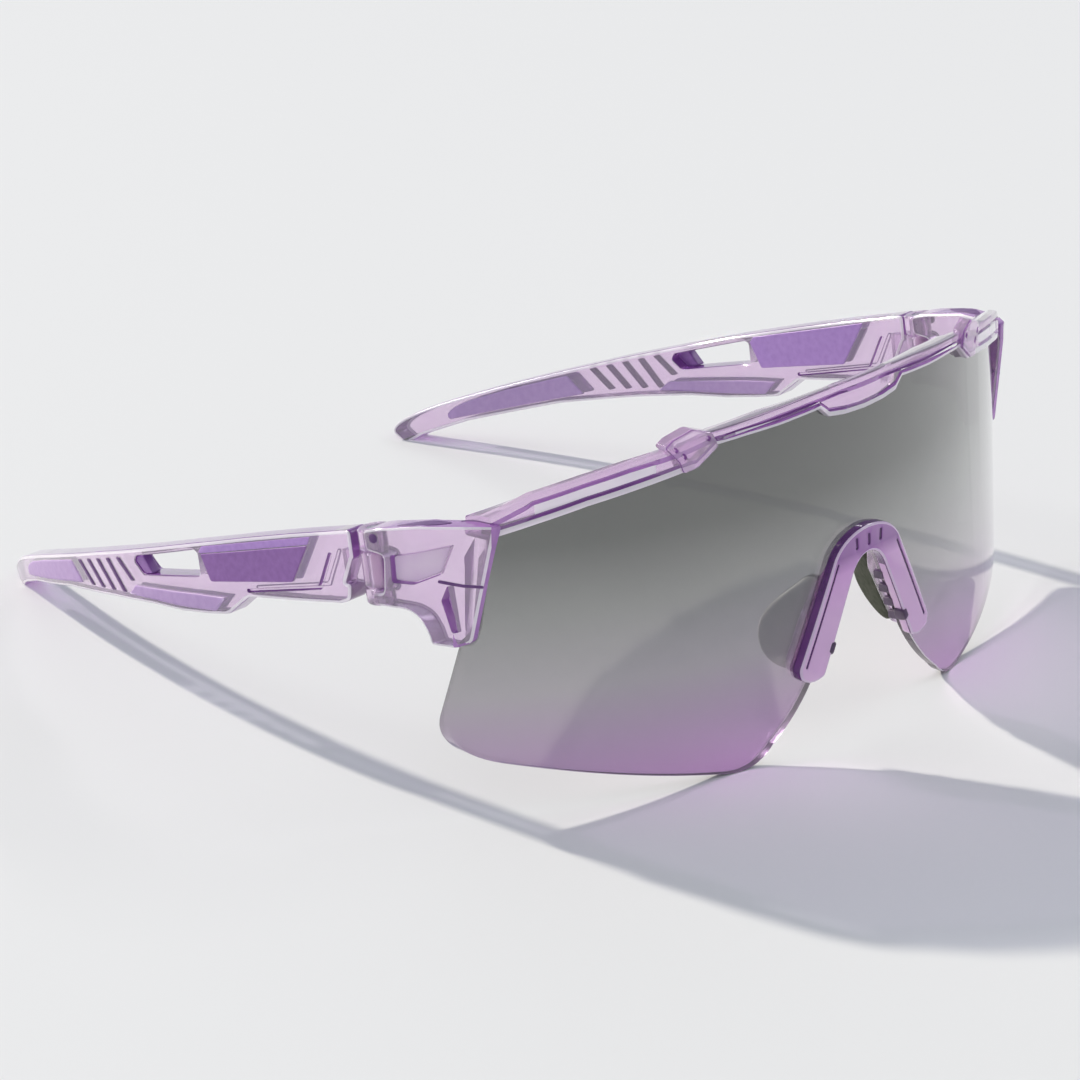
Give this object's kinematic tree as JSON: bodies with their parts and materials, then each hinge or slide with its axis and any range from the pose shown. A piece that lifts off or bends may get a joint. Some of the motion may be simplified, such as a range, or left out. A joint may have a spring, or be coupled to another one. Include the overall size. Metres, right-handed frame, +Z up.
{
  "type": "wraparound sport sunglasses",
  "caption": "Half-rim wraparound sport sunglasses with a one-piece tinted shield lens, clear lilac brow bar, clip-on nose piece and folding open-window temples.",
  "frame": {"origin": "on the standing surface, under the middle of the glasses' overall box", "axes": "+Z up, -Y to the front where the lens faces, +X to the wearer's left"},
  "size_m": [0.147, 0.158, 0.0615],
  "materials": {
    "clear_frame": "gloss",
    "clear_temple": "gloss",
    "tinted_lens": "gloss",
    "nose_clip": "gloss",
    "nose_pad": "satin",
    "badge_plate": "satin",
    "soft_grip": "matte",
    "dark_trim": "satin",
    "bush": "satin",
    "screw": "polished"
  },
  "bodies": {
    "front": {"brow_frame": "clear_frame", "lens": "tinted_lens", "nose_bridge": "nose_clip", "nose_pad_left": "nose_pad", "nose_pad_right": "nose_pad", "left_hinge_screw": "screw", "left_hinge_nut": "screw", "right_hinge_screw": "screw", "right_hinge_nut": "screw"},
    "left_arm": {"left_temple": "clear_temple", "left_badge_plate": "badge_plate", "left_lower_grip": "soft_grip", "left_grip_ribs": "dark_trim", "left_tip_pad": "soft_grip", "left_window_step": "dark_trim", "left_hinge_bush": "bush"},
    "right_arm": {"right_temple": "clear_temple", "right_badge_plate": "badge_plate", "right_lower_grip": "soft_grip", "right_grip_ribs": "dark_trim", "right_tip_pad": "soft_grip", "right_window_step": "dark_trim", "right_hinge_bush": "bush"}
  },
  "joints": [
    {"name": "right_temple_fold", "type": "hinge", "parent": "front", "child": "right_arm", "pos_m": [-0.0705, -0.03421, 0.0388], "axis": [0, -0.1633, -0.9866], "range_deg": [0, 84]},
    {"name": "left_temple_fold", "type": "hinge", "parent": "front", "child": "left_arm", "pos_m": [0.0705, -0.03421, 0.0388], "axis": [0, 0.1633, 0.9866], "range_deg": [0, 73]}
  ]
}
